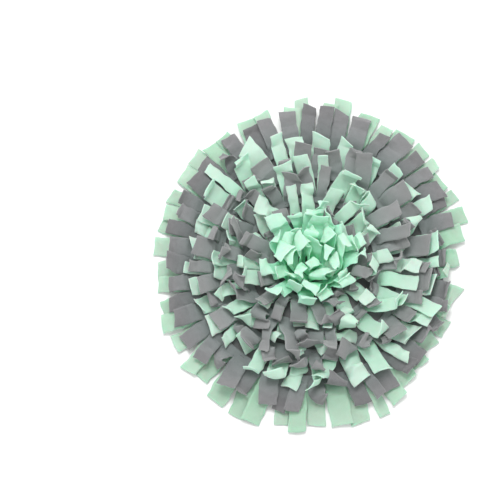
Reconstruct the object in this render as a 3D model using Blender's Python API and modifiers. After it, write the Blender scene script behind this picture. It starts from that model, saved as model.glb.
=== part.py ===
"""Round snuffle mat: a felt-backed disc with a bound edge, on which slit ribbons of fleece are sewn in rings.

Each ring is two ribbons laid together, mint below and grey above, slit into strips up to the seam that holds
their uncut margin. The mint strips of the outer ring fall over the edge to the floor, those of the inner rings
stand up and bow outwards, and an all-mint tuft fills the middle. Metres, +Z up, the origin at the middle of the
underside.
"""

import math
import random
from collections import namedtuple

import bmesh
import bpy
from mathutils import Matrix, Vector

MM = 0.001
CLEARANCE = 0.3 * MM  # between pieces that touch on the real mat
MERGE_DISTANCE = 0.01 * MM  # for the seam where a turned shape meets itself

# The disc that everything is sewn to.
DISC_RADIUS = 189 * MM
FELT_THICKNESS = 3.5 * MM
GROUND_THICKNESS = 1.2 * MM
BINDING_THICKNESS = 1.0 * MM
BINDING_ABOVE = 8 * MM  # how far the binding reaches in over the top
BINDING_BELOW = 10 * MM  # and under the felt
FELT_STEP_RUN = 2 * MM  # the felt thins over this run, where the binding goes under it
DISC_SIDES = 72

# Fleece ribbons.
FLEECE_THICKNESS = 2.0 * MM
SEAM_MARGIN = 8 * MM  # the uncut part of a ribbon, which the seam holds
STRIP_WIDTH = 21.5 * MM
SLIT = 1.0 * MM  # least room between neighbouring strips of a small ring
STRIP_SEGMENTS = 4
PLY_STEP_IN = 2.8 * MM  # how far inside the mint ply the grey ply turns up

GROUND_TOP = FELT_THICKNESS + CLEARANCE + GROUND_THICKNESS
LOWER_PLY_HEIGHT = GROUND_TOP + CLEARANCE + FLEECE_THICKNESS / 2
UPPER_PLY_HEIGHT = LOWER_PLY_HEIGHT + FLEECE_THICKNESS + CLEARANCE

# How uneven the strips are. Both plies of a ring were slit together, so they share these.
SEED = 18
LENGTH_SPREAD = 0.06
LEAN_SPREAD = 3.5  # degrees round the vertical
NEIGHBOUR_STEP = 3.0  # degrees by which every other strip stands steeper or flatter than its ring
RISE_SPREAD = 1.0  # degrees, beside that step
ROLL_SPREAD = 6.0  # degrees of twist at the tip

# The outer strips reach further to the front and back than to the sides.
REACH_SWING = 7.5 * MM

# One row for each ribbon. A strip leaves the seam at the angle rise above the floor and ends at the angle tip,
# both in degrees.
# The outer mint strips lie on the floor instead, and their length is their outward run.
Ribbon = namedtuple("Ribbon", "name ring material root_radius strips length rise tip phase")
RIBBONS = (
    Ribbon("fringe_1_mint", 1, "mint_fleece", 176 * MM, 48, 56 * MM, None, None, 0.00),
    Ribbon("fringe_1_grey", 1, "grey_fleece", 176 * MM, 48, 43 * MM, 46, -8, 0.00),
    Ribbon("fringe_2_mint", 2, "mint_fleece", 138 * MM, 37, 60 * MM, 50, 8, 0.35),
    Ribbon("fringe_2_grey", 2, "grey_fleece", 138 * MM, 37, 45 * MM, 62, 28, 0.35),
    Ribbon("fringe_3_mint", 3, "mint_fleece", 101 * MM, 30, 60 * MM, 60, 22, 0.15),
    Ribbon("fringe_3_grey", 3, "grey_fleece", 101 * MM, 30, 47 * MM, 72, 42, 0.15),
    Ribbon("fringe_4_mint", 4, "mint_fleece", 64 * MM, 20, 60 * MM, 70, 32, 0.60),
    Ribbon("fringe_4_grey", 4, "grey_fleece", 64 * MM, 20, 49 * MM, 80, 50, 0.60),
    Ribbon("tuft_outer", 5, "mint_fleece", 45 * MM, 12, 57 * MM, 84, 44, 0.25),
    Ribbon("tuft_middle", 6, "mint_fleece", 29 * MM, 7, 60 * MM, 88, 48, 0.70),
    Ribbon("tuft_inner", 7, "mint_fleece", 13 * MM, 4, 60 * MM, 89, 56, 0.40),
)

# The outer mint strips' way over the binding and down to the floor: outward run from the seam, height of the
# fleece's middle.
FLOOR_HEIGHT = FLEECE_THICKNESS / 2
FALL_TO_FLOOR = (
    (8 * MM, 9.6 * MM),
    (17 * MM, 9.4 * MM),
    (30 * MM, 2.6 * MM),
    (38 * MM, FLOOR_HEIGHT),
)

# Base colour, roughness.
MATERIALS = {
    "mint_fleece": ((0.50, 0.85, 0.66), 0.95),
    "grey_fleece": ((0.24, 0.245, 0.25), 0.95),
    "backing_felt": ((0.42, 0.45, 0.42), 0.95),
    "ground_cloth": ((0.10, 0.10, 0.105), 0.9),
    "binding_tape": ((0.12, 0.12, 0.125), 0.85),
}


def clear_scene():
    for old in list(bpy.data.objects):
        bpy.data.objects.remove(old)


def make_material(name):
    colour, roughness = MATERIALS[name]
    material = bpy.data.materials.new(name)
    material.use_nodes = True
    shader = material.node_tree.nodes["Principled BSDF"]
    shader.inputs["Base Color"].default_value = (*colour, 1.0)
    shader.inputs["Roughness"].default_value = roughness
    shader.inputs["Metallic"].default_value = 0.0
    return material


def add_object(name, bm, material, collection):
    mesh = bpy.data.meshes.new(name)
    bm.to_mesh(mesh)
    bm.free()
    mesh.materials.append(material)
    thing = bpy.data.objects.new(name, mesh)
    collection.objects.link(thing)
    return thing


def turned(name, profile, material, collection, closed_ring):
    """A profile of (radius, height) points, which runs down its outer side, turned round the Z axis.

    A ring's profile is a closed loop, and a disc's begins and ends on the axis.
    """
    bm = bmesh.new()
    points = [bm.verts.new((radius, 0.0, height)) for radius, height in profile]
    for first, second in zip(points, points[1:]):
        bm.edges.new((first, second))
    if closed_ring:
        bm.edges.new((points[-1], points[0]))
    thing = add_object(name, bm, material, collection)
    screw = thing.modifiers.new("turn", "SCREW")
    screw.axis = "Z"
    screw.angle = 2 * math.pi
    screw.steps = screw.render_steps = DISC_SIDES
    screw.use_merge_vertices = True
    screw.merge_threshold = MERGE_DISTANCE
    thing.data.shade_flat()
    return thing


def build_felt(materials, collection):
    """The anti-slip felt on the underside, thinner at the rim, where the binding goes under it."""
    rim_bottom = BINDING_THICKNESS + CLEARANCE
    rim_inner = DISC_RADIUS - BINDING_BELOW - CLEARANCE
    profile = [
        (0, FELT_THICKNESS),
        (DISC_RADIUS, FELT_THICKNESS),
        (DISC_RADIUS, rim_bottom),
        (rim_inner, rim_bottom),
        (rim_inner - FELT_STEP_RUN, 0),
        (0, 0),
    ]
    return turned("felt_backing", profile, materials["backing_felt"], collection, False)


def build_ground_cloth(materials, collection):
    """The cloth that the ribbons are sewn to."""
    bottom = FELT_THICKNESS + CLEARANCE
    profile = [(0, GROUND_TOP), (DISC_RADIUS, GROUND_TOP), (DISC_RADIUS, bottom), (0, bottom)]
    return turned("ground_cloth", profile, materials["ground_cloth"], collection, False)


def build_binding(materials, collection):
    """The tape folded over the edge of both discs, as a C open towards the middle."""
    upper_inner = DISC_RADIUS - BINDING_ABOVE
    lower_inner = DISC_RADIUS - BINDING_BELOW
    wall = DISC_RADIUS + CLEARANCE
    outer = wall + BINDING_THICKNESS
    upper_leaf = GROUND_TOP + CLEARANCE
    top = upper_leaf + BINDING_THICKNESS
    profile = [
        (upper_inner, top),
        (outer, top),
        (outer, 0),
        (lower_inner, 0),
        (lower_inner, BINDING_THICKNESS),
        (wall, BINDING_THICKNESS),
        (wall, upper_leaf),
        (upper_inner, upper_leaf),
    ]
    return turned("edge_binding", profile, materials["binding_tape"], collection, True)


def ring_draws(ring, strips):
    """How each strip of a ring differs from the ring's own shape; the same for both plies."""
    source = random.Random(SEED + ring)
    draws = []
    for index in range(strips):
        step = NEIGHBOUR_STEP if index % 2 else -NEIGHBOUR_STEP
        draws.append(
            {
                "length": 1 + source.uniform(-LENGTH_SPREAD, LENGTH_SPREAD),
                "lean": math.radians(source.uniform(-LEAN_SPREAD, LEAN_SPREAD)),
                "rise": math.radians(step + source.uniform(-RISE_SPREAD, RISE_SPREAD)),
                "roll": math.radians(source.uniform(-ROLL_SPREAD, ROLL_SPREAD)),
            }
        )
    return draws


def floor_path(length):
    """(outward run, height) of each step of an outer mint strip, which ends level on the floor."""
    return [*FALL_TO_FLOOR, (length, FLOOR_HEIGHT)]


def bowed_path(ribbon, length, extra_rise, root_height):
    """(outward run, height) of each step of a strip that bows evenly from its rise to its tip angle."""
    rise = math.radians(ribbon.rise) + extra_rise
    turn = math.radians(ribbon.tip - ribbon.rise)
    path = []
    for step in range(1, STRIP_SEGMENTS + 1):
        share = step / STRIP_SEGMENTS
        bend = turn * share
        run = length * share * (math.sin(rise + bend) - math.sin(rise)) / bend
        climb = length * share * (math.cos(rise) - math.cos(rise + bend)) / bend
        path.append((run, root_height + climb))
    return path


def strip_width(root, strips):
    """The strip's width, less in a ring so small that its neighbours' corners would meet."""
    side = 2 * root * math.sin(math.pi / strips)
    corner = FLEECE_THICKNESS * math.tan(math.pi / strips)
    return min(STRIP_WIDTH, side - corner - SLIT)


def seam_margin(bm, ribbon, root, height):
    """The uncut ring of a ribbon, one cell to a strip. Returns the edges where the strips begin."""
    start = ribbon.phase * 2 * math.pi / ribbon.strips
    direction = Vector((math.cos(start), math.sin(start), 0))
    lift = Vector((0, 0, height))
    ends = [bm.verts.new(direction * radius + lift) for radius in (root - SEAM_MARGIN, root)]
    bmesh.ops.spin(
        bm,
        geom=[*ends, bm.edges.new(ends)],
        axis=(0, 0, 1),
        angle=2 * math.pi,
        steps=ribbon.strips,
        use_merge=True,
    )
    bmesh.ops.remove_doubles(bm, verts=bm.verts, dist=MERGE_DISTANCE)
    middle_of_margin = root - SEAM_MARGIN / 2
    return [
        edge
        for edge in bm.edges
        if edge.is_boundary and all(vert.co.xy.length > middle_of_margin for vert in edge.verts)
    ]


def draw_out_strip(bm, edge, azimuth, path, width, roll):
    """Extrudes a seam edge step by step along the path, in the upright plane at the azimuth."""
    outward = Vector((math.cos(azimuth), math.sin(azimuth), 0))
    across = Vector((-math.sin(azimuth), math.cos(azimuth), 0))
    foot = (edge.verts[0].co + edge.verts[1].co) / 2
    last_run = 0.0
    last_height = foot.z
    for step, (run, height) in enumerate(path, start=1):
        geometry = bmesh.ops.extrude_edge_only(bm, edges=[edge])["geom"]
        ends = [item for item in geometry if isinstance(item, bmesh.types.BMVert)]
        edge = bm.edges.get(ends)
        along = outward * (run - last_run) + Vector((0, 0, height - last_height))
        width_way = Matrix.Rotation(roll * step / len(path), 3, along) @ across
        centre = Vector((foot.x, foot.y, height)) + outward * run
        old_middle = (ends[0].co + ends[1].co) / 2
        for vert in ends:
            side = math.copysign(width / 2, (vert.co - old_middle).dot(across))
            vert.co = centre + width_way * side
        last_run = run
        last_height = height


def build_ribbon(ribbon, materials, collection):
    """One ribbon: its seam margin, with a strip drawn out of each cell, given the fleece's thickness."""
    is_upper = ribbon.material == "grey_fleece"
    height = UPPER_PLY_HEIGHT if is_upper else LOWER_PLY_HEIGHT
    root = ribbon.root_radius - (PLY_STEP_IN if is_upper else 0)
    width = strip_width(root, ribbon.strips)
    draws = ring_draws(ribbon.ring, ribbon.strips)
    bm = bmesh.new()
    seam_edges = seam_margin(bm, ribbon, root, height)
    for edge in seam_edges:
        middle = (edge.verts[0].co + edge.verts[1].co) / 2
        azimuth = math.atan2(middle.y, middle.x)
        turns = azimuth / (2 * math.pi) * ribbon.strips - ribbon.phase
        draw = draws[math.floor(turns) % ribbon.strips]
        length = ribbon.length * draw["length"]
        if ribbon.rise is None:
            path = floor_path(length - REACH_SWING * math.cos(2 * azimuth))
            draw_out_strip(bm, edge, azimuth + draw["lean"], path, width, 0.0)
        else:
            path = bowed_path(ribbon, length, draw["rise"], height)
            draw_out_strip(bm, edge, azimuth + draw["lean"], path, width, draw["roll"])
    bmesh.ops.recalc_face_normals(bm, faces=bm.faces)
    thing = add_object(ribbon.name, bm, materials[ribbon.material], collection)
    thickness = thing.modifiers.new("fleece", "SOLIDIFY")
    thickness.thickness = FLEECE_THICKNESS
    thickness.offset = 0.0
    thing.data.shade_flat()
    return thing


def main():
    clear_scene()
    collection = bpy.data.collections.new("snuffle_mat")
    bpy.context.scene.collection.children.link(collection)
    materials = {name: make_material(name) for name in MATERIALS}
    build_felt(materials, collection)
    build_ground_cloth(materials, collection)
    build_binding(materials, collection)
    for ribbon in RIBBONS:
        build_ribbon(ribbon, materials, collection)


main()
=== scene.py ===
"""The look of the snuffle mat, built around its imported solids.

The fleece strips start as a fan on their seams and are settled under their own weight by a cloth simulation,
each towards a bent and twisted shape of its own. Metres, +Z up, the mat's underside at z = 0.
"""

import math
import random
from collections import namedtuple

import bmesh
import bpy
import numpy as np
from mathutils import Matrix, Vector, noise


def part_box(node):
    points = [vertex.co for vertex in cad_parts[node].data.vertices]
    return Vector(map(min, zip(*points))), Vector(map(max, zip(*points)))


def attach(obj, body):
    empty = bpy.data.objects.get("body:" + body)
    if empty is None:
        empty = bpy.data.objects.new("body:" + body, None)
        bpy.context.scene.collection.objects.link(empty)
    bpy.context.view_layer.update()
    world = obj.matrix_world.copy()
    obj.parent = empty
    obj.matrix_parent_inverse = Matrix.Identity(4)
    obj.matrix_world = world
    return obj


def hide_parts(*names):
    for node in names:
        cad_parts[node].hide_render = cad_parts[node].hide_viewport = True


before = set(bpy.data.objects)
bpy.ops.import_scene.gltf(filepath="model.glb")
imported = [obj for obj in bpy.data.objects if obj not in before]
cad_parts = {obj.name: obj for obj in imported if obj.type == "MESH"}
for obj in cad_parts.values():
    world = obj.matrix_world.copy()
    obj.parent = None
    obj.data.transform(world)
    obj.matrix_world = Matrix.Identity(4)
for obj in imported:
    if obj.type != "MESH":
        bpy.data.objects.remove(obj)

MM = 0.001
FULL_TURN = 2 * math.pi
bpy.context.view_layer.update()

# Heights and radii that the solids give.
_, FELT_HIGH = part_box("felt_backing")
GROUND_LOW, GROUND_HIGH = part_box("ground_cloth")
_, BINDING_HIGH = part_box("edge_binding")
MINT_PLY_LOW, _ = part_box("fringe_2_mint")
GREY_PLY_LOW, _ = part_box("fringe_2_grey")
DISC_RADIUS = GROUND_HIGH.x
BINDING_RADIUS = BINDING_HIGH.x

# Turned meshes.
DISC_SIDES = 240
GROUND_RINGS = 24
MERGE_DISTANCE = 0.01 * MM

# The binding tape.
TAPE_THICKNESS = 1.0 * MM
TAPE_ABOVE = 8 * MM  # how far the tape reaches in over the ground cloth
TAPE_BELOW = 10 * MM  # and under the felt
TAPE_GAP = 0.3 * MM
TAPE_FACE = 0.3 * MM  # the tape's underside, which its stitches hold off the floor
TAPE_ROUNDING = 0.9 * MM
LONGEST_ROUNDING = 0.45  # of the side that a corner ends
ROUNDING_STEPS = 3
UPPER_STITCHES = 5 * MM  # in from the disc's edge
LOWER_STITCHES = 6.5 * MM

# The felt and its rubber dots.
FELT_FACE = 0.5 * MM  # the felt's underside, which its dots hold off the floor
FELT_STEP_RUN = 2 * MM  # over which the felt thins, where the tape goes under it
DOT_PITCH = 4 * MM
DOT_RADIUS = 0.95 * MM
DOT_ROOT = 0.3 * MM  # how deep a dot sits in the felt
DOT_TAPER = 0.72  # how much smaller its face on the floor is
DOT_SIDES = 6
DOT_MARGIN = 3 * MM
FLOWER_EVERY = 6  # pitches from one ring of dots to the next
FLOWER_DOTS = 8
FLOWER_RADIUS = 3.1 * MM
FLOWER_DOT_RADIUS = 1.2 * MM
FLOWER_HEART = 0.8  # how much smaller than a plain dot the one in a ring's middle is

# Stitches. Each row of the shape is a ring of points: its place along the stitch, how thick the thread is
# there, and how far it rises, in the thread's radii.
STITCH_PITCH = 4.2 * MM
STITCH_LENGTH = 3.3 * MM
STITCH_SHAPE = ((-0.5, 0.55, -1.2), (-0.36, 1.0, 0.0), (0.36, 1.0, 0.0), (0.5, 0.55, -1.2))
THREAD_RADIUS = 0.28 * MM
THREAD_SIDES = 6

# Fleece.
FLEECE_THICKNESS = 1.2 * MM
FOLD_SHARPNESS = 0.75
CUT_SHARPNESS = 0.7
CRUMPLE_DEPTH = 4.0 * MM
CRUMPLE_LENGTH = 14 * MM
CRUMPLE_MIDDLE = 0.43  # under a half, so that the crumples keep the lowest cloth off the floor
TUFT_CRUMPLE = 1.5  # how much deeper in the tuft
SEAM_MARGIN = 8 * MM
LOWER_PLY_HEIGHT = MINT_PLY_LOW.z + FLEECE_THICKNESS / 2
UPPER_PLY_HEIGHT = GREY_PLY_LOW.z + FLEECE_THICKNESS / 2

# One row for each ring of strips. A node that has two rows is a ribbon wound twice. root is the seam's
# radius, gather how much wider a strip is than its share of the seam, fan the strips' angle from the
# vertical before they settle and flop how far they all lean one way, both in degrees, bow the bend that
# they have taken on, in radians, wild how uneven they are, and kinked the share of them that are folded.
Ring = namedtuple("Ring", "node seam root strips length gather fan flop bow wild kinked")
RINGS = (
    Ring("fringe_1_mint", 1, 176 * MM, 48, 60 * MM, 1.12, 80, 0, 0.1, 0.20, 0.2),
    Ring("fringe_1_grey", 1, 173 * MM, 48, 51 * MM, 1.06, 70, 0, 0.1, 0.35, 0.4),
    Ring("fringe_2_mint", 2, 138 * MM, 37, 57 * MM, 1.05, 50, 0, 0.3, 0.55, 0.6),
    Ring("fringe_2_grey", 2, 135 * MM, 37, 44 * MM, 1.05, 36, 0, 0.3, 0.55, 0.6),
    Ring("fringe_3_mint", 3, 101 * MM, 30, 60 * MM, 1.02, 38, 0, 0.4, 0.75, 0.75),
    Ring("fringe_3_grey", 3, 98 * MM, 30, 50 * MM, 1.02, 25, 0, 0.4, 0.80, 0.75),
    Ring("fringe_4_mint", 4, 64 * MM, 20, 60 * MM, 1.00, 28, 7, 0.3, 0.90, 0.8),
    Ring("fringe_4_grey", 4, 61 * MM, 20, 52 * MM, 1.00, 16, 7, 0.3, 0.90, 0.8),
    Ring("tuft_outer", 5, 46 * MM, 12, 55 * MM, 0.95, 5, 13, 0.4, 1.00, 1.0),
    Ring("tuft_outer", 6, 38 * MM, 10, 57 * MM, 0.95, 5, 13, 0.4, 1.00, 1.0),
    Ring("tuft_middle", 7, 30 * MM, 7, 60 * MM, 0.90, 5, 13, 0.3, 1.00, 1.0),
    Ring("tuft_middle", 8, 22 * MM, 5, 60 * MM, 0.85, 5, 13, 0.3, 1.00, 1.0),
    Ring("tuft_inner", 9, 14 * MM, 3, 60 * MM, 0.80, 4, 13, 0.3, 1.00, 1.0),
)

# Where handling has combed the strips: in the ring of a seam, round an azimuth and over a half-width in
# degrees, the fan's angle changes by so many degrees, the mint and the grey strips look longer or shorter,
# and they are more crumpled.
Comb = namedtuple("Comb", "seam azimuth half_width fan mint grey crumple")
COMB_FADE = 0.3  # of the half-width, over which the combing fades away past it
COMBS = (
    Comb(1, 16, 9, 0, 1.12, 1.0, 0.0),
    Comb(1, 48, 7, 0, 1.06, 1.1, 0.0),
    Comb(1, 83, 14, 0, 1.14, 1.12, 0.0),
    Comb(1, 108, 7, 0, 1.10, 1.0, 0.0),
    Comb(1, 132, 14, 0, 0.92, 0.95, 0.0),
    Comb(1, 174, 14, 0, 0.92, 0.9, 0.0),
    Comb(1, 230, 12, 0, 1.03, 0.97, 0.0),
    Comb(1, 273, 30, 0, 1.02, 0.84, 0.0),
    Comb(1, 336, 24, 0, 0.72, 0.8, 0.1),
    Comb(1, 3, 7, 0, 0.85, 0.8, 0.0),
    Comb(2, 50, 18, 0, 0.85, 1.12, 0.0),
    Comb(2, 127, 18, 8, 1.12, 0.75, 0.0),
    Comb(2, 162, 12, 0, 0.8, 1.0, 0.0),
    Comb(2, 185, 10, -6, 0.85, 1.1, 0.0),
    Comb(2, 216, 20, -14, 0.8, 0.8, 0.1),
    Comb(2, 270, 36, 0, 1.12, 1.0, 0.4),
    Comb(3, 20, 12, 0, 0.8, 1.2, 0.0),
    Comb(3, 56, 18, 4, 1.05, 0.65, 0.0),
    Comb(3, 150, 12, 0, 0.75, 1.0, 0.0),
    Comb(3, 190, 26, 0, 0.85, 1.2, 0.1),
    Comb(3, 256, 30, 10, 0.85, 1.3, 0.35),
    Comb(3, 305, 14, 4, 1.15, 0.8, 0.0),
    Comb(3, 330, 14, 0, 1.05, 0.7, 0.0),
    Comb(4, 10, 14, 0, 1.05, 0.7, 0.0),
    Comb(4, 75, 40, 0, 1.05, 0.65, 0.0),
    Comb(4, 135, 14, 0, 1.0, 0.65, 0.0),
    Comb(4, 160, 10, 0, 0.7, 1.15, 0.0),
    Comb(4, 192, 12, 0, 1.1, 0.8, 0.0),
    Comb(4, 245, 36, 0, 0.75, 1.2, 0.0),
    Comb(4, 310, 18, 0, 1.05, 0.65, 0.0),
)

# How the strips differ.
SEED = 21
RIM_SEED = 91  # the outer ring's own
SEAM_SPIN = 0.37  # turns by which each seam's first strip lies further round
CUT_SPREAD = 0.18  # of a strip's width
CUT_SKEW = 9.0  # degrees by which a strip's end is cut askew
LENGTH_SPREAD = (0.87, 1.10)
OUTER_REACH = 236 * MM  # of the outer mint strips, from the middle
REACH_SWING = 7.5 * MM  # how much further they reach to the front and back, and less far to the sides
FAN_STEP = 3.0  # degrees by which every other strip starts steeper
FAN_SPREAD = 3.0
FAN_DRIFT = 9.0  # degrees, a slow change round the ring
FAN_LIMITS = (1, 84)
DRIFT_RADIUS = 1.3  # of a ring's path through the noise that gives the drift
DRIFT_STEP = 7.3  # from one seam's path to the next
FLOP_AZIMUTH = math.radians(70)
LEAN = 15.0  # degrees
LEAN_ROWS = 3  # the rows near the seam in which a strip turns aside
TAMEST_LEAN = 0.2  # the share of that lean in strips that aren't wild
WILDEST_LEAN = 1.3  # and the most that it grows to in wild ones
CURL = 0.3  # radians over a strip's length
TWIST = 0.3
GUTTER = 1.5 * MM  # how deeply a strip is hollow along its middle
CRUMPLED_GUTTER = 4 * MM  # and how much more so where it is crumpled
NARROWING = 0.1  # how much narrower it looks there
OPEN_ROWS = 3  # over which a strip widens and hollows from its foot
KINK = (0.9, 1.7)  # radians
KINK_SKEW = 45.0  # degrees
KINK_ROWS = (5, 6, 7, 8)
TAMEST_FOLD = 0.1  # the share of a fold that is left in strips that aren't wild
TUFT_FOLD = 1.3  # how much more the tuft's strips are folded
BACK_SHARE = 0.5  # of the folded strips, those that are folded back again
BACK_ROWS = 2  # further out
INWARD = 0.3  # the share of the tuft's folds that go inwards

# The simulated mesh.
ROWS = 10
COLUMNS = 3
OFFSETS = [column / (COLUMNS - 1) - 0.5 for column in range(COLUMNS)]
PINNED_ROWS = 2

# The simulation.
SIM_SCALE = 10
SIM_RAMP = 20  # frames over which the strips take on their bends
SIM_FRAMES = 60
BENDING_STIFFNESS = 12
CLOTH_CLEARANCE = 1.0 * MM
STRIP_CLEARANCE = 2.2 * MM  # between the middles of two strips
FLOOR_CLEARANCE = 0.9 * MM  # which the crumples and the cloth's own thickness then take up
COLLIDER_LIFT = 0.5 * MM  # of the disc that the strips meet, over the ground cloth
COLLIDER_SIDES = 96
COLLIDER_REACH = 0.6

# The tint of the pile's sheen, and how far red, green and blue light goes through the cloth.
MINT = ((0.8, 1.0, 0.9), (0.6, 1.5, 1.1))
GREY = ((0.85, 0.85, 0.85), (1.0, 1.0, 1.0))
# What the colour is multiplied by near the seam and at the tips: painted shade and greener painted bounce
# light between the crowded strips near the seam. In the tuft the tips are a little darker, because its colour
# is raised for that painted bounce light.
MINT_SEAM_SHADE = ((0.80, 0.98, 0.89), (1.0, 1.0, 1.0))
TUFT_SEAM_SHADE = ((0.66, 1.0, 0.84), (0.95, 0.89, 0.91))
GREY_SEAM_SHADE = ((0.88, 0.99, 0.96), (1.0, 1.0, 1.0))

# Each fleece, with its darkest and lightest colour. The outer ring's copies are darker, painted shade against
# the fuller light on the flat rim. The tuft's copy is greener and lighter, painted bounce light between its
# crowded strips.
FLEECES = (
    ("mint_fleece", (0.46, 0.72, 0.545), (0.575, 0.79, 0.64), MINT_SEAM_SHADE, MINT),
    ("mint_fleece_outer_shaded", (0.37, 0.55, 0.41), (0.48, 0.64, 0.51), MINT_SEAM_SHADE, MINT),
    ("mint_fleece_tuft_bounce_lit", (0.50, 0.93, 0.67), (0.56, 0.93, 0.69), TUFT_SEAM_SHADE, MINT),
    ("grey_fleece", (0.212, 0.216, 0.217), (0.287, 0.290, 0.292), GREY_SEAM_SHADE, GREY),
    ("grey_fleece_outer_shaded", (0.155, 0.153, 0.157), (0.255, 0.255, 0.261), GREY_SEAM_SHADE, GREY),
)

# The ribbons that take a darker or lighter copy of their fleece: painted shade on the outer ring, and painted
# bounce light in the tuft.
LIT_AND_SHADED_COPIES = {
    "fringe_1_mint": "mint_fleece_outer_shaded",
    "fringe_1_grey": "grey_fleece_outer_shaded",
    "tuft_outer": "mint_fleece_tuft_bounce_lit",
    "tuft_middle": "mint_fleece_tuft_bounce_lit",
    "tuft_inner": "mint_fleece_tuft_bounce_lit",
}

# Each weave, with its darkest and lightest colour, its threads' pitch and its relief.
WEAVES = (
    ("backing_felt", (0.30, 0.33, 0.30), (0.52, 0.55, 0.50), 2.0 * MM, 0.15 * MM),
    ("ground_cloth", (0.11, 0.115, 0.115), (0.20, 0.205, 0.205), 0.9 * MM, 0.2 * MM),
    ("binding_tape", (0.06, 0.06, 0.065), (0.15, 0.15, 0.155), 0.6 * MM, 0.15 * MM),
    ("thread", (0.05, 0.05, 0.055), (0.12, 0.12, 0.125), 0.3 * MM, 0.05 * MM),
)
RUBBER_DARK = (0.045, 0.052, 0.048)
RUBBER_LIGHT = (0.085, 0.095, 0.088)

# The studio.
FLOOR_REACH = 3.0
FLOOR_COLOUR = (0.95, 0.95, 0.95, 1)
DAYLIGHT = 0.9
SOFTBOX_SIZE = 0.7
SOFTBOX_POWER = 20
SOFTBOX_PLACE = Vector((-0.2, 0.7, 1.7))

# The camera, from the photograph: the mat's middle is at this pixel of its 500 by 500, at this scale.
FRAME_PIXELS = 500
MAT_PIXEL = (311, 264)
MM_PER_PIXEL = 1.44
CAMERA_ELEVATION = math.radians(75)
LENS = 110
SENSOR = 36


def is_grey(node):
    return node.endswith("grey")


def in_tuft(node):
    return node.startswith("tuft")


def ring_height(ring):
    """The height of a ribbon's middle at its seam."""
    return UPPER_PLY_HEIGHT if is_grey(ring.node) else LOWER_PLY_HEIGHT


def outward_at(azimuth):
    return Vector((math.cos(azimuth), math.sin(azimuth), 0))


def sideways_at(azimuth):
    return Vector((-math.sin(azimuth), math.cos(azimuth), 0))


class Strip:
    """One strip of a ring, and the points of its mesh, row by row from the seam outwards."""

    def __init__(self, ring, azimuth, pitch, fan, length, crumpled, draw):
        outward = outward_at(azimuth)
        straight = Vector((0, 0, math.cos(fan))) + outward * math.sin(fan)
        self.ring = ring
        self.length = length
        self.crumpled = crumpled
        self.draw = draw
        self.wild = ring.wild + crumpled
        self.across = sideways_at(azimuth)
        self.along = Matrix.Rotation(math.radians(ring.flop), 3, sideways_at(FLOP_AZIMUTH)) @ straight
        self.foot = outward * ring.root * math.cos(pitch / 2) + Vector((0, 0, ring_height(ring)))
        self.foot_width = 2 * ring.root * math.sin(pitch / 2)
        self.width = self.foot_width * ring.gather * (1 - NARROWING * crumpled)
        self.askew = [offset * self.width * draw["askew"] for offset in OFFSETS]

    def start_points(self):
        """The strip as it starts, straight out from its foot."""
        points = []
        for row in range(ROWS + 1):
            for offset, late in zip(OFFSETS, self.askew):
                run = self.length * row / ROWS + (late if row == ROWS else 0)
                points.append(self.foot + self.along * run + self.across * (offset * self.foot_width))
        return points

    def rest_points(self):
        """The strip as it would hang with no weight."""
        step = self.along.copy()
        side = (self.across - step * self.across.dot(step)).normalized()
        point = self.foot.copy()
        points = [self.foot + self.across * (offset * self.foot_width) for offset in OFFSETS]
        for row in range(ROWS):
            if row >= PINNED_ROWS - 1:
                turn = self.turn(row, step, side)
                step = (turn @ step).normalized()
                side = (turn @ side).normalized()
            point = point + step * (self.length / ROWS)
            open_share = min(1, (row + 1) / OPEN_ROWS)
            width = self.foot_width + (self.width - self.foot_width) * open_share
            depth = (GUTTER * self.wild + CRUMPLED_GUTTER * self.crumpled) * self.draw["gutter"] * open_share
            hollow = side.cross(step) * depth
            points += [point + side * (offset * width) + hollow * (1 - 2 * abs(offset)) for offset in OFFSETS]
        for column, late in enumerate(self.askew):
            points[column - COLUMNS] = points[column - COLUMNS] + step * late
        return points

    def turn(self, row, step, side):
        """How the strip turns at a row: bent, twisted, aside near the seam, and folded where it is kinked."""
        draw = self.draw
        normal = side.cross(step)
        further = 2 * row / (ROWS - 1)
        bend = (self.ring.bow * further + CURL * self.wild * draw["curl"]) / ROWS
        twist = TWIST * self.wild * draw["twist"] / ROWS
        lean = 0
        if row < PINNED_ROWS - 1 + LEAN_ROWS:
            lean = math.radians(LEAN) * draw["lean"] * min(WILDEST_LEAN, self.wild + TAMEST_LEAN) / LEAN_ROWS
        turn = (
            Matrix.Rotation(-bend, 3, side)
            @ Matrix.Rotation(twist, 3, step)
            @ Matrix.Rotation(lean, 3, normal)
        )
        if row in draw["folds"]:
            skewed = Matrix.Rotation(draw["kink_skew"], 3, normal) @ side
            fold = draw["folds"][row] * min(1, self.wild + TAMEST_FOLD)
            turn = Matrix.Rotation(-fold, 3, skewed) @ turn
        return turn


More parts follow.
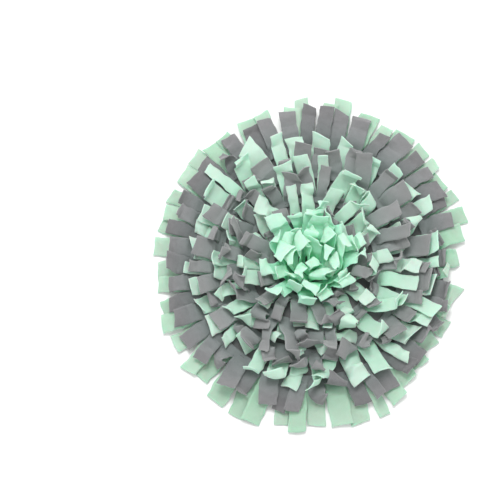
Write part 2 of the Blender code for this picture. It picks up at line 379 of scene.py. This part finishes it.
class Net:
    """The mesh that is simulated: the strips of every ring, each ring joined along its seam margin."""

    def __init__(self):
        self.start = []
        self.rest = []
        self.faces = []
        self.pinned = []
        self.tone = []  # for each face, how light its strip is
        self.node = []  # for each face
        self.rim = []  # for each point, 1 on a strip's long edges
        self.fold = []  # for each point, 1 where its strip is folded
        self.reach = []  # for each point, how far along its strip it is, from 0 at the seam to 1

    def add_point(self, start, rest, rim, fold=0.0, reach=0.0):
        self.start.append(start)
        self.rest.append(rest)
        self.rim.append(rim)
        self.fold.append(fold)
        self.reach.append(reach)
        return len(self.start) - 1

    def add_face(self, corners, tone, node):
        self.faces.append(corners)
        self.tone.append(tone)
        self.node.append(node)

    def add_margin(self, ring, cuts, draws):
        """Adds a ring's seam margin, two cells to a strip, and returns its outer points."""
        inner = []
        outer = []
        for before, after in zip(cuts, cuts[1:]):
            chord = math.cos((after - before) / 2)
            for azimuth, share in ((before, 1), ((before + after) / 2, chord)):
                for radius, points in ((ring.root - SEAM_MARGIN, inner), (ring.root, outer)):
                    point = outward_at(azimuth) * radius * share + Vector((0, 0, ring_height(ring)))
                    points.append(self.add_point(point, point, 1.0 if share == 1 else 0.0))
        self.pinned += inner + outer
        for half in range(len(outer)):
            following = (half + 1) % len(outer)
            corners = (inner[half], outer[half], outer[following], inner[following])
            self.add_face(corners, draws[half // 2]["tone"], ring.node)
        return outer

    def add_strip(self, strip, seam_points):
        """Adds a strip, whose first row is the seam's points."""
        start = strip.start_points()
        rest = strip.rest_points()
        last = seam_points
        for row in range(1, ROWS + 1):
            fold = float(row in strip.draw["folds"])
            here = []
            for column in range(COLUMNS):
                at = row * COLUMNS + column
                rim = abs(2 * column / (COLUMNS - 1) - 1)
                here.append(self.add_point(start[at], rest[at], rim, fold, row / ROWS))
            if row < PINNED_ROWS:
                self.pinned += here
            for column in range(COLUMNS - 1):
                corners = (last[column], here[column], here[column + 1], last[column + 1])
                self.add_face(corners, strip.draw["tone"], strip.ring.node)
            last = here


def fold_rows(ring, source):
    """How far a strip is folded, at which rows: outwards, in the tuft also inwards, and perhaps back."""
    row = source.choice(KINK_ROWS)
    fold = source.uniform(*KINK)
    if in_tuft(ring.node):
        fold *= -TUFT_FOLD if source.random() < INWARD else TUFT_FOLD
    folds = {row: fold}
    if source.random() < BACK_SHARE:
        folds[row + BACK_ROWS] = -fold
    return folds


def ring_draws(ring, source):
    """What makes each strip of a ring differ."""
    return [
        {
            "cut": source.uniform(-CUT_SPREAD, CUT_SPREAD),
            "fan": source.uniform(-FAN_SPREAD, FAN_SPREAD),
            "lean": source.gauss(0, 1),
            "length": source.uniform(*LENGTH_SPREAD),
            "curl": source.gauss(0, 1),
            "twist": source.gauss(0, 1),
            "askew": math.tan(math.radians(source.gauss(0, CUT_SKEW))),
            "gutter": source.gauss(0, 1),
            "folds": fold_rows(ring, source),
            "folded": source.random(),
            "kink_skew": math.radians(source.uniform(-KINK_SKEW, KINK_SKEW)),
            "tone": source.uniform(0, 1),
        }
        for _ in range(ring.strips)
    ]


def combed(ring, azimuth):
    """How much flatter, longer and more crumpled a ring's strips are at an azimuth."""
    flatter = 0
    longer = 1
    crumpled = 0
    for comb in COMBS:
        away = abs((math.degrees(azimuth) - comb.azimuth + 180) % 360 - 180)
        reach = comb.half_width * (1 + COMB_FADE)
        if comb.seam != ring.seam or away > reach:
            continue
        share = min(1, (reach - away) / (comb.half_width * COMB_FADE))
        stretch = comb.grey if is_grey(ring.node) else comb.mint
        flatter += comb.fan * share
        longer *= 1 + (stretch - 1) * share
        crumpled += comb.crumple * share
    return flatter, longer, crumpled


def fan_drift(ring, azimuth):
    place = (DRIFT_RADIUS * math.cos(azimuth), DRIFT_RADIUS * math.sin(azimuth), DRIFT_STEP * ring.seam)
    return 2 * FAN_DRIFT * noise.noise(Vector(place))


def strip_length(ring, azimuth, longer, draw):
    """A strip's length. The outer strips follow the rim, which is further out at the front and back."""
    swing = REACH_SWING * math.cos(2 * azimuth)
    if ring.node == "fringe_1_mint":
        return (OUTER_REACH - ring.root - swing) * draw["length"] * longer
    length = ring.length * draw["length"] * longer
    return length - swing if ring.node == "fringe_1_grey" else length


def plan_strip(ring, index, cuts, draw):
    azimuth = (cuts[index] + cuts[index + 1]) / 2
    pitch = cuts[index + 1] - cuts[index]
    flatter, longer, crumpled = combed(ring, azimuth)
    if draw["folded"] >= ring.kinked + crumpled:
        draw["folds"] = {}
    steeper = FAN_STEP if index % 2 else 0
    least, most = FAN_LIMITS
    fan = ring.fan - steeper + draw["fan"] + fan_drift(ring, azimuth) + flatter
    fan = math.radians(max(least, min(fan, most)))
    length = strip_length(ring, azimuth, longer, draw)
    return Strip(ring, azimuth, pitch, fan, length, crumpled, draw)


def plan_ring(net, ring, draws):
    """Adds a ring to the net: its seam margin and its strips, which share their corners at the seam."""
    spin = FULL_TURN * SEAM_SPIN * ring.seam
    cuts = [spin + FULL_TURN * (index + draw["cut"]) / ring.strips for index, draw in enumerate(draws)]
    cuts.append(cuts[0] + FULL_TURN)
    outer = net.add_margin(ring, cuts, draws)
    for index, draw in enumerate(draws):
        seam_points = [outer[(2 * index + column) % len(outer)] for column in range(COLUMNS)]
        net.add_strip(plan_strip(ring, index, cuts, draw), seam_points)


def plan_net():
    """The whole net. The two plies of a seam were slit together, so their strips share their cuts."""
    source = random.Random(SEED)
    rim_source = random.Random(RIM_SEED)
    net = Net()
    shared = {}
    for ring in RINGS:
        draws = ring_draws(ring, source)
        if ring.seam == 1:  # the rim has its own draws, and the other rings keep theirs
            draws = ring_draws(ring, rim_source)
        if ring.seam in shared:
            for draw, below in zip(draws, shared[ring.seam]):
                draw["fan"] = below["fan"]
                draw["cut"] = below["cut"]
        shared[ring.seam] = draws
        plan_ring(net, ring, draws)
    return net


def new_object(name, points, faces):
    mesh = bpy.data.meshes.new(name)
    mesh.from_pydata([tuple(point) for point in points], [], faces)
    mesh.update()
    thing = bpy.data.objects.new(name, mesh)
    bpy.context.scene.collection.objects.link(thing)
    return thing


def new_square(name, reach):
    corners = [(-reach, -reach, 0), (reach, -reach, 0), (reach, reach, 0), (-reach, reach, 0)]
    return new_object(name, corners, [(0, 1, 2, 3)])


def turned_mesh(name, profile, sides, closed):
    """A profile of (radius, height) points turned round the Z axis. An open one begins and ends on it."""
    thing = new_object(name, [(radius, 0, height) for radius, height in profile], [])
    mesh = bmesh.new()
    mesh.from_mesh(thing.data)
    mesh.verts.ensure_lookup_table()
    for first, second in zip(mesh.verts[:], mesh.verts[1:]):
        mesh.edges.new((first, second))
    if closed:
        mesh.edges.new((mesh.verts[-1], mesh.verts[0]))
    bmesh.ops.spin(
        mesh,
        geom=[*mesh.verts, *mesh.edges],
        axis=(0, 0, 1),
        angle=FULL_TURN,
        steps=sides,
        use_merge=True,
    )
    bmesh.ops.remove_doubles(mesh, verts=mesh.verts, dist=MERGE_DISTANCE)
    bmesh.ops.dissolve_degenerate(mesh, edges=mesh.edges, dist=MERGE_DISTANCE)
    bmesh.ops.recalc_face_normals(mesh, faces=mesh.faces)
    mesh.to_mesh(thing.data)
    mesh.free()
    return thing


def tube_faces(first, sides, rings):
    """The faces of a closed tube, whose rings of points follow each other from the point numbered first."""
    faces = []
    for ring in range(rings - 1):
        here = first + ring * sides
        for side in range(sides):
            following = (side + 1) % sides
            faces.append((here + side, here + following, here + sides + following, here + sides + side))
    faces.append(tuple(first + side for side in reversed(range(sides))))
    faces.append(tuple(first + (rings - 1) * sides + side for side in range(sides)))
    return faces


def add_colliders():
    """The disc and the floor, as the settling strips meet them."""
    top = GROUND_HIGH.z + COLLIDER_LIFT
    profile = [(0, top), (BINDING_RADIUS, top), (BINDING_RADIUS, 0), (0, 0)]
    scaled = [(radius * SIM_SCALE, height * SIM_SCALE) for radius, height in profile]
    disc = turned_mesh("disc_collider", scaled, COLLIDER_SIDES, False)
    floor = new_square("floor_collider", COLLIDER_REACH * SIM_SCALE)
    for thing, clearance in ((disc, CLOTH_CLEARANCE), (floor, FLOOR_CLEARANCE)):
        thing.modifiers.new("collision", "COLLISION")
        thing.collision.thickness_outer = clearance * SIM_SCALE
        thing.collision.cloth_friction = 5
    return [disc, floor]


def add_cloth(thing, pin_group):
    """Soft, well-damped fleece, which is held where it is sewn down."""
    modifier = thing.modifiers.new("cloth", "CLOTH")
    settings = modifier.settings
    settings.quality = 6
    settings.mass = 0.15
    settings.tension_stiffness = settings.compression_stiffness = 25
    settings.shear_stiffness = 15
    settings.bending_model = "ANGULAR"
    settings.bending_stiffness = BENDING_STIFFNESS
    settings.tension_damping = settings.compression_damping = settings.shear_damping = 10
    settings.bending_damping = 1
    settings.air_damping = 2
    settings.vertex_group_mass = pin_group
    settings.use_dynamic_mesh = True
    contact = modifier.collision_settings
    contact.use_collision = True
    contact.collision_quality = 2
    contact.distance_min = CLOTH_CLEARANCE * SIM_SCALE
    contact.use_self_collision = True
    contact.self_distance_min = STRIP_CLEARANCE * SIM_SCALE
    contact.self_friction = 8
    modifier.point_cache.frame_start = 1
    modifier.point_cache.frame_end = SIM_FRAMES


def settle(net):
    """Drops the strips from their fan and returns where their points come to rest."""
    cloth = new_object("cloth", [point * SIM_SCALE for point in net.start], net.faces)
    cloth.shape_key_add(name="start")
    rest = cloth.shape_key_add(name="rest")
    for item, point in zip(rest.data, net.rest):
        item.co = point * SIM_SCALE
    for step, value in ((1, 0), (1 + SIM_RAMP, 1)):
        rest.value = value
        rest.keyframe_insert("value", frame=step)
    group = cloth.vertex_groups.new(name="seam")
    group.add(net.pinned, 1.0, "REPLACE")
    colliders = add_colliders()
    add_cloth(cloth, group.name)
    scene = bpy.context.scene
    for step in range(1, SIM_FRAMES + 1):
        scene.frame_set(step)
    evaluated = cloth.evaluated_get(bpy.context.evaluated_depsgraph_get())
    settled = np.empty(3 * len(net.start))
    evaluated.data.vertices.foreach_get("co", settled)
    scene.frame_set(1)
    for thing in [cloth, *colliders]:
        bpy.data.objects.remove(thing)
    return settled.reshape(-1, 3) / SIM_SCALE


class Surface:
    """A material in the making, with short ways to add nodes that end in its shader."""

    def __init__(self, name):
        self.material = bpy.data.materials.new(name)
        self.material.use_nodes = True
        self.nodes = self.material.node_tree.nodes
        self.links = self.material.node_tree.links
        self.shader = self.nodes["Principled BSDF"]
        self.place = self.nodes.new("ShaderNodeTexCoord").outputs["Object"]

    def attribute(self, name):
        node = self.nodes.new("ShaderNodeAttribute")
        node.attribute_name = name
        return node.outputs["Fac"]

    def noise(self, scale, detail, roughness=0.5):
        node = self.nodes.new("ShaderNodeTexNoise")
        node.inputs["Scale"].default_value = scale
        node.inputs["Detail"].default_value = detail
        node.inputs["Roughness"].default_value = roughness
        self.links.new(self.place, node.inputs["Vector"])
        return node.outputs["Fac"]

    def threads(self, direction, pitch):
        """Parallel threads, a little wavy. Blender's bands are pi / 10 apart at a scale of 1."""
        node = self.nodes.new("ShaderNodeTexWave")
        node.bands_direction = direction
        node.inputs["Scale"].default_value = math.pi / (10 * pitch)
        node.inputs["Distortion"].default_value = 1.2
        node.inputs["Detail"].default_value = 2
        node.inputs["Detail Scale"].default_value = 3
        self.links.new(self.place, node.inputs["Vector"])
        return node.outputs["Fac"]

    def calculate(self, operation, *values):
        """What a Math node makes of values, each a number or a node's output."""
        node = self.nodes.new("ShaderNodeMath")
        node.operation = operation
        for value, socket in zip(values, node.inputs):
            if isinstance(value, (int, float)):
                socket.default_value = value
            else:
                self.links.new(value, socket)
        return node.outputs[0]

    def blend(self, *parts):
        """The sum of outputs, each times its weight."""
        total = 0.0
        for output, weight in parts:
            total = self.calculate("MULTIPLY_ADD", output, weight, total)
        return total

    def ramp(self, value, low, dark, high, light):
        node = self.nodes.new("ShaderNodeValToRGB")
        for element, position, colour in zip(node.color_ramp.elements, (low, high), (dark, light)):
            element.position = position
            element.color = (*colour, 1)
        self.links.new(value, node.inputs["Fac"])
        return node.outputs["Color"]

    def tinted(self, colour, tint):
        node = self.nodes.new("ShaderNodeVectorMath")
        node.operation = "MULTIPLY"
        self.links.new(colour, node.inputs[0])
        self.links.new(tint, node.inputs[1])
        return node.outputs["Vector"]

    def paint(self, colour):
        self.links.new(colour, self.shader.inputs["Base Color"])

    def emboss(self, height, strength, distance):
        node = self.nodes.new("ShaderNodeBump")
        node.inputs["Strength"].default_value = strength
        node.inputs["Distance"].default_value = distance
        self.links.new(height, node.inputs["Height"])
        self.links.new(node.outputs["Normal"], self.shader.inputs["Normal"])

    def finished(self, values):
        """The material, once the shader's sockets hold these values."""
        for socket, value in values.items():
            self.shader.inputs[socket].default_value = value
        return self.material


def fleece_material(name, dark, light, seam_shade, cloth):
    """Brushed fleece: a short matted pile, strips a little unlike each other, painted shade and greener
    painted bounce light near the seam, where the strips crowd, and cut edges that look fuller.
    """
    surface = Surface(name)
    pile = surface.noise(scale=900, detail=3)
    matting = surface.noise(scale=130, detail=4, roughness=0.65)
    tone = surface.attribute("tone")
    cut_edge = surface.calculate("POWER", surface.attribute("rim"), 8)
    shade = surface.blend((tone, 0.42), (matting, 0.40), (pile, 0.30), (cut_edge, 0.08))
    colour = surface.ramp(shade, 0.22, dark, 0.95, light)
    shade_near_seam, at_tip = seam_shade
    # Painted shade and greener painted bounce light near the seam, fading towards the tips.
    tint = surface.ramp(surface.attribute("reach"), 0.15, shade_near_seam, 0.85, at_tip)
    surface.paint(surface.tinted(colour, tint))
    surface.emboss(surface.blend((pile, 0.6), (matting, 0.8)), strength=0.8, distance=0.8 * MM)
    sheen, through = cloth
    return surface.finished(
        {
            "Roughness": 0.95,
            "Specular IOR Level": 0.15,
            "Subsurface Weight": 0.6,
            "Subsurface Radius": through,
            "Subsurface Scale": 4 * MM,
            "Sheen Weight": 0.35,
            "Sheen Roughness": 0.5,
            "Sheen Tint": (*sheen, 1),
        }
    )


def weave_material(name, dark, light, pitch, relief):
    """Plain weave: two crossed sets of threads at a pitch, fuzzy and uneven."""
    surface = Surface(name)
    crossed = surface.calculate("MULTIPLY", surface.threads("X", pitch), surface.threads("Y", pitch))
    fuzz = surface.noise(scale=700, detail=4)
    patches = surface.noise(scale=35, detail=3)
    shade = surface.blend((crossed, 0.35), (fuzz, 0.5), (patches, 0.25))
    surface.paint(surface.ramp(shade, 0.25, dark, 0.85, light))
    surface.emboss(surface.calculate("MULTIPLY_ADD", fuzz, 0.5, crossed), strength=0.7, distance=relief)
    return surface.finished(
        {
            "Roughness": 0.9,
            "Specular IOR Level": 0.2,
            "Sheen Weight": 0.15,
            "Sheen Roughness": 0.5,
        }
    )


def rubber_material(name):
    """Soft rubber, printed in small dots, with a dull skin."""
    surface = Surface(name)
    skin = surface.noise(scale=1500, detail=3)
    surface.paint(surface.ramp(skin, 0.3, RUBBER_DARK, 0.7, RUBBER_LIGHT))
    surface.emboss(skin, strength=0.3, distance=0.1 * MM)
    return surface.finished({"Roughness": 0.62})


def make_materials():
    materials = {}
    for name, *fleece in FLEECES:
        materials[name] = fleece_material(name, *fleece)
    for name, *weave in WEAVES:
        materials[name] = weave_material(name, *weave)
    materials["rubber"] = rubber_material("rubber")
    return materials


def finish_piece(piece, material, slot, *nodes):
    piece.data.materials.append(material)
    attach(piece, "root")
    if nodes:
        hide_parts(*nodes)


def rounded(profile, radius):
    """A closed profile with its corners rounded."""
    smooth = []
    for before, corner, after in zip(profile[-1:] + profile[:-1], profile, profile[1:] + profile[:1]):
        corner = Vector(corner)
        back = Vector(before) - corner
        onward = Vector(after) - corner
        first = corner + back.normalized() * min(radius, back.length * LONGEST_ROUNDING)
        last = corner + onward.normalized() * min(radius, onward.length * LONGEST_ROUNDING)
        for step in range(ROUNDING_STEPS + 1):
            share = step / ROUNDING_STEPS
            smooth.append(first.lerp(corner, share).lerp(corner.lerp(last, share), share)[:])
    return smooth


def build_felt(materials):
    """The felt, held off the floor by its dots, and thinner at the rim, where the tape goes under it."""
    rim_bottom = TAPE_THICKNESS + TAPE_GAP
    rim_inner = DISC_RADIUS - TAPE_BELOW - TAPE_GAP
    profile = [
        (0, FELT_HIGH.z),
        (DISC_RADIUS, FELT_HIGH.z),
        (DISC_RADIUS, rim_bottom),
        (rim_inner, rim_bottom),
        (rim_inner - FELT_STEP_RUN, FELT_FACE),
        (rim_inner / 2, FELT_FACE),
        (0, FELT_FACE),
    ]
    felt = turned_mesh("felt_underlay", profile, DISC_SIDES, False)
    finish_piece(felt, materials["backing_felt"], "backing_felt", "felt_backing")
    dots = build_dots(rim_inner - FELT_STEP_RUN - DOT_MARGIN)
    finish_piece(dots, materials["rubber"], "backing_felt")


def dot_places(reach):
    """Each dot's (x, y, radius): small dots in rows and columns, with a ring of larger ones in every few."""
    count = int(reach / DOT_PITCH) + 1
    middle = FLOWER_EVERY // 2
    for column in range(-count, count + 1):
        for row in range(-count, count + 1):
            x = column * DOT_PITCH
            y = row * DOT_PITCH
            across = column % FLOWER_EVERY - middle
            along = row % FLOWER_EVERY - middle
            if math.hypot(x, y) > reach:
                continue
            if max(abs(across), abs(along)) > 1:
                yield x, y, DOT_RADIUS
            elif across == along == 0 and math.hypot(x, y) < reach - FLOWER_RADIUS:
                yield x, y, DOT_RADIUS * FLOWER_HEART
                for index in range(FLOWER_DOTS):
                    petal = outward_at(FULL_TURN * index / FLOWER_DOTS) * FLOWER_RADIUS
                    yield x + petal.x, y + petal.y, FLOWER_DOT_RADIUS


def build_dots(reach):
    """The rubber dots, each from a small face on the floor up into the felt."""
    points = []
    faces = []
    for x, y, radius in dot_places(reach):
        first = len(points)
        for height, share in ((0, DOT_TAPER), (FELT_FACE + DOT_ROOT, 1.0)):
            for side in range(DOT_SIDES):
                corner = outward_at(FULL_TURN * side / DOT_SIDES) * radius * share
                points.append((x + corner.x, y + corner.y, height))
        faces += tube_faces(first, DOT_SIDES, 2)
    return new_object("felt_dots", points, faces)


def build_ground(materials):
    top = GROUND_HIGH.z
    bottom = GROUND_LOW.z
    profile = [(DISC_RADIUS * index / GROUND_RINGS, top) for index in range(GROUND_RINGS + 1)]
    profile += [(DISC_RADIUS, bottom), (0, bottom)]
    ground = turned_mesh("ground_weave", profile, DISC_SIDES, False)
    ground.data.shade_smooth()
    finish_piece(ground, materials["ground_cloth"], "ground_cloth", "ground_cloth")


def build_binding(materials):
    """The tape folded over the edge, and the two rows of stitches that hold it."""
    upper_inner = DISC_RADIUS - TAPE_ABOVE
    lower_inner = DISC_RADIUS - TAPE_BELOW
    wall = DISC_RADIUS + TAPE_GAP
    upper_leaf = GROUND_HIGH.z + TAPE_GAP
    top = BINDING_HIGH.z
    profile = [
        (upper_inner, top),
        (BINDING_RADIUS, top),
        (BINDING_RADIUS, TAPE_FACE),
        (lower_inner, TAPE_FACE),
        (lower_inner, TAPE_THICKNESS),
        (wall, TAPE_THICKNESS),
        (wall, upper_leaf),
        (upper_inner, upper_leaf),
    ]
    tape = turned_mesh("binding_tape", rounded(profile, TAPE_ROUNDING), DISC_SIDES, True)
    tape.data.shade_smooth()
    finish_piece(tape, materials["binding_tape"], "binding_tape", "edge_binding")
    rows = [(DISC_RADIUS - UPPER_STITCHES, top, 1), (DISC_RADIUS - LOWER_STITCHES, TAPE_FACE, -1)]
    stitches = build_stitches("binding_stitches", rows)
    finish_piece(stitches, materials["thread"], "binding_tape")


def build_stitches(name, rows):
    """Rings of stitches at (radius, height, 1 on top of the cloth or -1 under it). Their ends dip into it."""
    points = []
    faces = []
    for radius, height, face in rows:
        for index in range(round(FULL_TURN * radius / STITCH_PITCH)):
            first = len(points)
            for along, thick, rise in STITCH_SHAPE:
                outward = outward_at((index * STITCH_PITCH + along * STITCH_LENGTH) / radius)
                centre = outward * radius + Vector((0, 0, height + face * rise * THREAD_RADIUS))
                for side in range(THREAD_SIDES):
                    turn = FULL_TURN * side / THREAD_SIDES
                    around = outward * math.cos(turn) - Vector((0, 0, math.sin(turn)))
                    points.append(centre + around * THREAD_RADIUS * thick)
            faces += tube_faces(first, THREAD_SIDES, len(STITCH_SHAPE))
    return new_object(name, points, faces)


def build_seams(materials):
    """The stitches that hold each ribbon down, along the middle of its seam margin."""
    rows = {}
    for ring in RINGS:
        rows[ring.seam] = (ring.root - SEAM_MARGIN / 2, ring_height(ring) + FLEECE_THICKNESS / 2, 1)
    seams = build_stitches("ribbon_stitches", list(rows.values()))
    finish_piece(seams, materials["thread"], "ground_cloth")


def add_values(mesh, name, domain, values):
    attribute = mesh.attributes.new(name, "FLOAT", domain)
    attribute.data.foreach_set("value", values)


def ribbon_object(name, net, settled, chosen):
    """The chosen faces of the settled net as an object, with what its material and its creases need."""
    used = sorted({corner for index in chosen for corner in net.faces[index]})
    place = {old: new for new, old in enumerate(used)}
    faces = [tuple(place[corner] for corner in net.faces[index]) for index in chosen]
    ribbon = new_object(name + "_fleece", [settled[index] for index in used], faces)
    mesh = ribbon.data
    mesh.shade_smooth()
    add_values(mesh, "tone", "FACE", [net.tone[index] for index in chosen])
    add_values(mesh, "rim", "POINT", [net.rim[index] for index in used])
    add_values(mesh, "reach", "POINT", [net.reach[index] for index in used])
    creases = []
    for edge in mesh.edges:
        first, second = edge.vertices
        creases.append(FOLD_SHARPNESS * net.fold[used[first]] * net.fold[used[second]])
    add_values(mesh, "crease_edge", "EDGE", creases)
    return ribbon


def make_fleece(ribbon, crumples, levels, crumple_depth):
    """Smooths a ribbon's bends, crumples it, and gives it the fleece's thickness and softly cut edges."""
    smooth = ribbon.modifiers.new("smooth", "SUBSURF")
    smooth.levels = smooth.render_levels = levels
    smooth.boundary_smooth = "PRESERVE_CORNERS"
    crumple = ribbon.modifiers.new("crumple", "DISPLACE")
    crumple.texture = crumples
    crumple.texture_coords = "LOCAL"
    crumple.direction = "RGB_TO_XYZ"
    crumple.mid_level = CRUMPLE_MIDDLE
    crumple.strength = crumple_depth
    thickness = ribbon.modifiers.new("thickness", "SOLIDIFY")
    thickness.thickness = FLEECE_THICKNESS
    thickness.offset = 0
    thickness.edge_crease_inner = thickness.edge_crease_outer = thickness.edge_crease_rim = CUT_SHARPNESS
    soft = ribbon.modifiers.new("soft_edges", "SUBSURF")
    soft.levels = soft.render_levels = 1


def build_ribbons(net, settled, materials):
    """One piece for each ribbon, from the simulated points of its strips."""
    crumples = bpy.data.textures.new("crumples", "CLOUDS")
    crumples.noise_scale = CRUMPLE_LENGTH
    crumples.noise_depth = 1
    crumples.cloud_type = "COLOR"
    for name in dict.fromkeys(ring.node for ring in RINGS):
        chosen = [index for index, node in enumerate(net.node) if node == name]
        ribbon = ribbon_object(name, net, settled, chosen)
        if in_tuft(name):
            make_fleece(ribbon, crumples, 2, CRUMPLE_DEPTH * TUFT_CRUMPLE)
        else:
            make_fleece(ribbon, crumples, 1, CRUMPLE_DEPTH)
        slot = "grey_fleece" if is_grey(name) else "mint_fleece"
        # The outer ring and the tuft take fleece copies with painted shade or painted bounce light.
        finish_piece(ribbon, materials[LIT_AND_SHADED_COPIES.get(name, slot)], slot, name)


def build_floor():
    floor = new_square("floor", FLOOR_REACH)
    material = bpy.data.materials.new("floor")
    material.use_nodes = True
    shader = material.node_tree.nodes["Principled BSDF"]
    shader.inputs["Base Color"].default_value = FLOOR_COLOUR
    shader.inputs["Roughness"].default_value = 0.8
    floor.data.materials.append(material)


def aim(thing, place, direction):
    """Puts a light or a camera at a place, facing a direction."""
    thing.location = place
    thing.rotation_mode = "QUATERNION"
    thing.rotation_quaternion = direction.to_track_quat("-Z", "Y")
    bpy.context.scene.collection.objects.link(thing)


def build_lights():
    world = bpy.data.worlds.new("studio")
    bpy.context.scene.world = world
    world.use_nodes = True
    background = world.node_tree.nodes["Background"]
    background.inputs["Color"].default_value = (1, 1, 1, 1)
    background.inputs["Strength"].default_value = DAYLIGHT
    light = bpy.data.lights.new("softbox", "AREA")
    light.size = SOFTBOX_SIZE
    light.energy = SOFTBOX_POWER
    aim(bpy.data.objects.new("softbox", light), SOFTBOX_PLACE, -SOFTBOX_PLACE)


def build_camera():
    data = bpy.data.cameras.new("camera")
    data.lens = LENS
    data.sensor_width = SENSOR
    camera = bpy.data.objects.new("camera", data)
    back = Vector((0, -math.cos(CAMERA_ELEVATION), math.sin(CAMERA_ELEVATION)))
    view_up = Vector((0, math.sin(CAMERA_ELEVATION), math.cos(CAMERA_ELEVATION)))
    width = FRAME_PIXELS * MM_PER_PIXEL * MM
    distance = width * LENS / SENSOR
    across = (FRAME_PIXELS / 2 - MAT_PIXEL[0]) * MM_PER_PIXEL * MM
    upward = (MAT_PIXEL[1] - FRAME_PIXELS / 2) * MM_PER_PIXEL * MM
    target = Vector((across, 0, 0)) + view_up * upward
    aim(camera, target + back * distance, -back)
    bpy.context.scene.camera = camera


def main():
    bpy.context.scene.view_settings.view_transform = "Standard"
    materials = make_materials()
    build_felt(materials)
    build_ground(materials)
    build_binding(materials)
    build_seams(materials)
    net = plan_net()
    settled = settle(net)
    build_ribbons(net, settled, materials)
    build_floor()
    build_lights()
    build_camera()


main()
